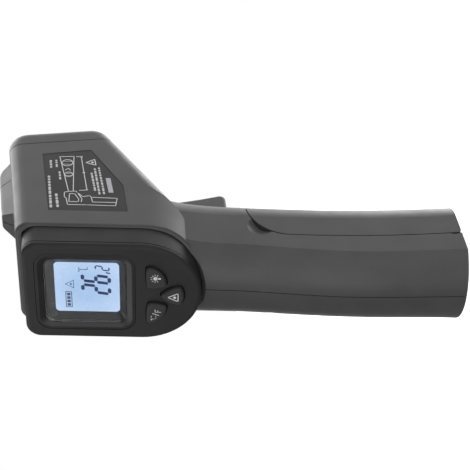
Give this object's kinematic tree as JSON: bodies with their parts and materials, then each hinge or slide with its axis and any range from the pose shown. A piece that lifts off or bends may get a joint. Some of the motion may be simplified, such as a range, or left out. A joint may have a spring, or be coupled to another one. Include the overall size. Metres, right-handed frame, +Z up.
{
  "type": "infrared thermometer",
  "caption": "Pistol-grip infrared thermometer with a raked head, backlit rear display, rubber keys, sprung trigger and a hinged battery door.",
  "frame": {"origin": "middle of the bottom of the whole object's box, under the grip", "axes": "+X forward, the way the infrared lens looks; +Y to the holder's left; +Z up along the grip"},
  "size_m": [0.0678, 0.0414, 0.1603],
  "materials": {
    "casing_grey": "fine matt texture",
    "hood_black": "satin",
    "frame_black": "satin",
    "clear_plastic": "clear, polished",
    "display_glass": "polished",
    "milky_plastic": "milky",
    "label_foil": "printed, matt",
    "key_rubber": "matt",
    "trigger_grey": "satin",
    "inner_black": "matt",
    "lens_silicon": "polished, coated",
    "brass": "turned",
    "steel": "plated",
    "board_green": "solder mask",
    "battery_shell": "painted",
    "wire_red": "satin",
    "wire_black": "satin"
  },
  "bodies": {
    "housing": {"casing_right": "casing_grey", "casing_left": "casing_grey", "nose_cap": "casing_grey", "rear_hood": "hood_black", "window_frame": "frame_black", "display_frame": "frame_black", "display_window": "clear_plastic", "laser_window": "clear_plastic", "display_panel": "display_glass", "light_guide": "milky_plastic", "backlight_lamps": "milky_plastic", "side_label": "label_foil", "key_web": "key_rubber", "rubber_contacts": "key_rubber", "lens_tube": "inner_black", "lens_ring": "inner_black", "trigger_switch": "inner_black", "main_chip": "inner_black", "buzzer": "inner_black", "battery_snap": "inner_black", "infrared_lens": "lens_silicon", "laser_module": "brass", "thermopile_sensor": "steel", "board_screws": "steel", "casing_screws": "steel", "trigger_pin": "steel", "door_pin": "steel", "trigger_spring": "steel", "dome_switches": "steel", "main_board": "board_green", "sensor_board": "board_green", "switch_bracket": "board_green", "battery": "battery_shell", "battery_lead_red": "wire_red", "sensor_leads": "wire_red", "battery_lead_black": "wire_black", "laser_leads": "wire_black"},
    "trigger_lever": {"trigger": "trigger_grey"},
    "backlight_button": {"backlight_key": "key_rubber"},
    "unit_button": {"unit_key": "key_rubber"},
    "laser_button": {"laser_key": "key_rubber"},
    "battery_cover": {"battery_door": "casing_grey"}
  },
  "joints": [
    {"name": "trigger_pull", "type": "hinge", "parent": "housing", "child": "trigger_lever", "pos_m": [0.00357, 0, 0.10969], "axis": [0, 1, 0], "range_deg": [0, 7], "stiffness_Nm_per_rad": 0.02, "springref_deg": -20.05},
    {"name": "backlight_press", "type": "slide", "parent": "housing", "child": "backlight_button", "axis": [1, 0, 0], "range_m": [0, 0.0006], "stiffness_N_per_m": 500, "springref_m": -0.0012},
    {"name": "unit_press", "type": "slide", "parent": "housing", "child": "unit_button", "axis": [1, 0, 0], "range_m": [0, 0.0006], "stiffness_N_per_m": 500, "springref_m": -0.0012},
    {"name": "laser_press", "type": "slide", "parent": "housing", "child": "laser_button", "axis": [1, 0, 0], "range_m": [0, 0.0006], "stiffness_N_per_m": 500, "springref_m": -0.0012},
    {"name": "battery_door_swing", "type": "hinge", "parent": "housing", "child": "battery_cover", "pos_m": [-0.01404, 0, 0.00419], "axis": [0, 1, 0], "range_deg": [0, 55]}
  ]
}
